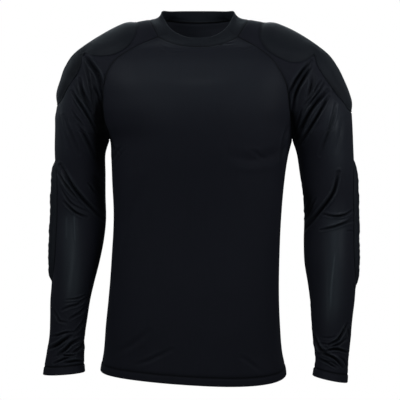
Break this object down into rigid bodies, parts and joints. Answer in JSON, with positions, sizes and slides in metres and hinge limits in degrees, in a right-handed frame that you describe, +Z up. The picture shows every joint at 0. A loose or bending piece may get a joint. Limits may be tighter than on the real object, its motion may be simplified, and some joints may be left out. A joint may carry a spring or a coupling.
{
  "type": "padded compression shirt in worn form",
  "caption": "Dark long-sleeved raglan compression shirt with sewn-on shoulder and elbow pads, kept hollow as if worn.",
  "frame": {"origin": "middle of the neck opening, level with the high point of the shoulders, where the wearer's neck and shoulders hold the shirt up", "axes": "+Z up towards the neck opening, -Y towards the front of the shirt, +X to the right as seen from the front, which is the wearer's left"},
  "size_m": [0.5964, 0.2253, 0.7046],
  "materials": {
    "compression_knit": "satin",
    "collar_knit": "matte",
    "pad_cover": "satin"
  },
  "bodies": {
    "root": {"front": "compression_knit", "back": "compression_knit", "sleeve_left": "compression_knit", "sleeve_right": "compression_knit", "collar": "collar_knit", "shoulder_pad_left": "pad_cover", "shoulder_pad_right": "pad_cover", "elbow_pad_left": "pad_cover", "elbow_pad_right": "pad_cover"}
  },
  "joints": []
}
